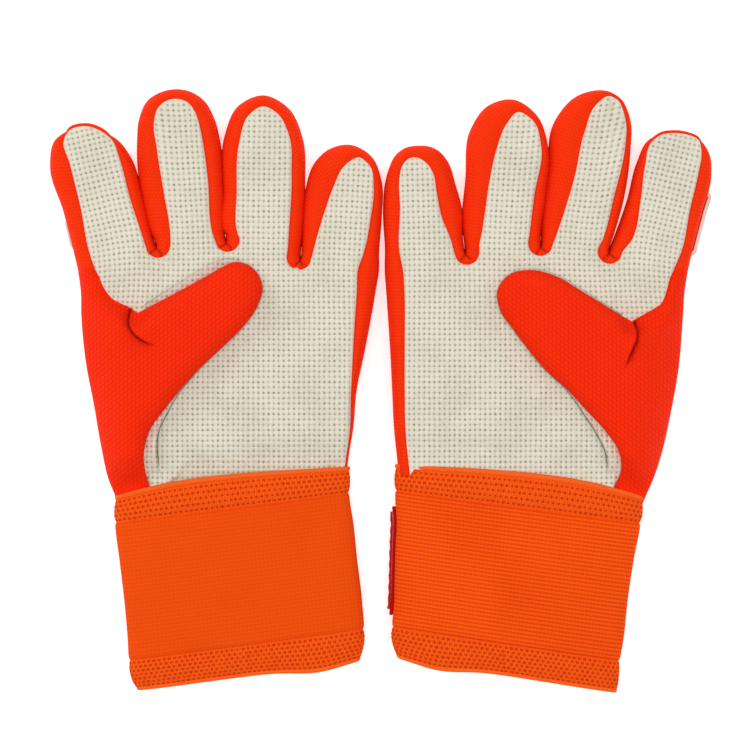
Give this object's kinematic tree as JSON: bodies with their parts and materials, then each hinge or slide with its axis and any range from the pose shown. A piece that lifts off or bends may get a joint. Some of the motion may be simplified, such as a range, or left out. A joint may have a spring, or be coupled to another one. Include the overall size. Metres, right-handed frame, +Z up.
{
  "type": "pair of goalkeeper gloves",
  "caption": "Pair of goalkeeper gloves lying palm up, thumbs folded over the palms: foam palms, knit finger gussets, mesh and elastic cuffs, wrist straps that peel open.",
  "frame": {"origin": "centre of the pair, on the surface that the gloves lie on", "axes": "+X across the pair from the left glove to the right glove, +Y towards the fingertips, +Z up out of the palms"},
  "size_m": [0.2276, 0.2116, 0.0304],
  "materials": {
    "palm_latex": "matte latex foam with a fine waffle-woven face",
    "gusset_knit": "fine warp-knit polyester",
    "thumb_knit": "fine warp-knit polyester over thin foam",
    "backhand": "smooth embossed synthetic with red piping",
    "foam_padding": "open-cell foam sheet",
    "lining": "soft tricot",
    "air_mesh": "honeycomb air mesh",
    "elastic": "ribbed woven elastic bandage",
    "binding": "folded knit binding tape",
    "loop_tape": "brushed loop pile",
    "hook_tape": "moulded nylon hooks on a woven tape",
    "strap_webbing": "woven webbing over a thin rubber core",
    "pull_tab": "moulded rubber tab"
  },
  "bodies": {
    "left_hand": {"left_palm_grip": "palm_latex", "left_palm_lining": "lining", "left_back_panel": "backhand", "left_back_padding": "foam_padding", "left_thumb_side_gusset": "gusset_knit", "left_outer_gusset": "gusset_knit", "left_cuff_sleeve": "air_mesh", "left_elastic_bandage": "elastic", "left_cuff_top_binding": "binding", "left_cuff_bottom_binding": "binding", "left_loop_patch": "loop_tape", "left_strap_anchor": "strap_webbing"},
    "right_hand": {"right_palm_grip": "palm_latex", "right_palm_lining": "lining", "right_back_panel": "backhand", "right_back_padding": "foam_padding", "right_thumb_side_gusset": "gusset_knit", "right_outer_gusset": "gusset_knit", "right_cuff_sleeve": "air_mesh", "right_elastic_bandage": "elastic", "right_cuff_top_binding": "binding", "right_cuff_bottom_binding": "binding", "right_loop_patch": "loop_tape", "right_strap_anchor": "strap_webbing"},
    "left_index": {"left_index_grip": "palm_latex", "left_index_gusset": "gusset_knit", "left_index_back": "backhand"},
    "left_middle": {"left_middle_grip": "palm_latex", "left_middle_gusset": "gusset_knit", "left_middle_back": "backhand"},
    "left_ring": {"left_ring_grip": "palm_latex", "left_ring_gusset": "gusset_knit", "left_ring_back": "backhand"},
    "left_little": {"left_little_grip": "palm_latex", "left_little_gusset": "gusset_knit", "left_little_back": "backhand"},
    "left_thumb": {"left_thumb_grip": "palm_latex", "left_thumb_gusset": "thumb_knit", "left_thumb_back": "thumb_knit"},
    "left_strap": {"left_wrist_strap": "strap_webbing", "left_hook_patch": "hook_tape", "left_pull_tab": "pull_tab"},
    "right_index": {"right_index_grip": "palm_latex", "right_index_gusset": "gusset_knit", "right_index_back": "backhand"},
    "right_middle": {"right_middle_grip": "palm_latex", "right_middle_gusset": "gusset_knit", "right_middle_back": "backhand"},
    "right_ring": {"right_ring_grip": "palm_latex", "right_ring_gusset": "gusset_knit", "right_ring_back": "backhand"},
    "right_little": {"right_little_grip": "palm_latex", "right_little_gusset": "gusset_knit", "right_little_back": "backhand"},
    "right_thumb": {"right_thumb_grip": "palm_latex", "right_thumb_gusset": "thumb_knit", "right_thumb_back": "thumb_knit"},
    "right_strap": {"right_wrist_strap": "strap_webbing", "right_hook_patch": "hook_tape", "right_pull_tab": "pull_tab"}
  },
  "joints": [
    {"name": "right_glove_lift", "type": "slide", "parent": "left_hand", "child": "right_hand", "axis": [0, 0, 1], "range_m": [0, 0.15]},
    {"name": "left_index_curl", "type": "hinge", "parent": "left_hand", "child": "left_index", "pos_m": [-0.0944, 0.0542, 0.0142], "axis": [0.9724, 0.2334, 0], "range_deg": [0, 85]},
    {"name": "left_middle_curl", "type": "hinge", "parent": "left_hand", "child": "left_middle", "pos_m": [-0.0681, 0.0575, 0.0142], "axis": [0.9976, 0.0698, 0], "range_deg": [0, 85]},
    {"name": "left_ring_curl", "type": "hinge", "parent": "left_hand", "child": "left_ring", "pos_m": [-0.0417, 0.0578, 0.0142], "axis": [0.9999, -0.0105, 0], "range_deg": [0, 85]},
    {"name": "left_little_curl", "type": "hinge", "parent": "left_hand", "child": "left_little", "pos_m": [-0.0142, 0.0516, 0.0142], "axis": [0.9984, -0.0558, 0], "range_deg": [0, 85]},
    {"name": "left_thumb_fold", "type": "hinge", "parent": "left_hand", "child": "left_thumb", "pos_m": [-0.08525, -0.0025, 0.0186], "axis": [0.106, -0.9944, 0], "range_deg": [0, 120]},
    {"name": "left_strap_peel", "type": "hinge", "parent": "left_hand", "child": "left_strap", "pos_m": [-0.09038, -0.07093, 0.0008], "axis": [-0.1219, 0.9925, 0], "range_deg": [0, 175]},
    {"name": "right_index_curl", "type": "hinge", "parent": "right_hand", "child": "right_index", "pos_m": [0.0944, 0.0542, 0.0142], "axis": [0.9724, -0.2334, 0], "range_deg": [0, 85]},
    {"name": "right_middle_curl", "type": "hinge", "parent": "right_hand", "child": "right_middle", "pos_m": [0.0681, 0.0575, 0.0142], "axis": [0.989, -0.1478, 0], "range_deg": [0, 85]},
    {"name": "right_ring_curl", "type": "hinge", "parent": "right_hand", "child": "right_ring", "pos_m": [0.0417, 0.0578, 0.0142], "axis": [0.9976, -0.0698, 0], "range_deg": [0, 85]},
    {"name": "right_little_curl", "type": "hinge", "parent": "right_hand", "child": "right_little", "pos_m": [0.0142, 0.0516, 0.0142], "axis": [0.9997, 0.0262, 0], "range_deg": [0, 85]},
    {"name": "right_thumb_fold", "type": "hinge", "parent": "right_hand", "child": "right_thumb", "pos_m": [0.08525, -0.0025, 0.0186], "axis": [0.106, 0.9944, 0], "range_deg": [0, 120]},
    {"name": "right_strap_peel", "type": "hinge", "parent": "right_hand", "child": "right_strap", "pos_m": [0.09038, -0.07093, 0.0008], "axis": [-0.1219, -0.9925, 0], "range_deg": [0, 175]}
  ]
}
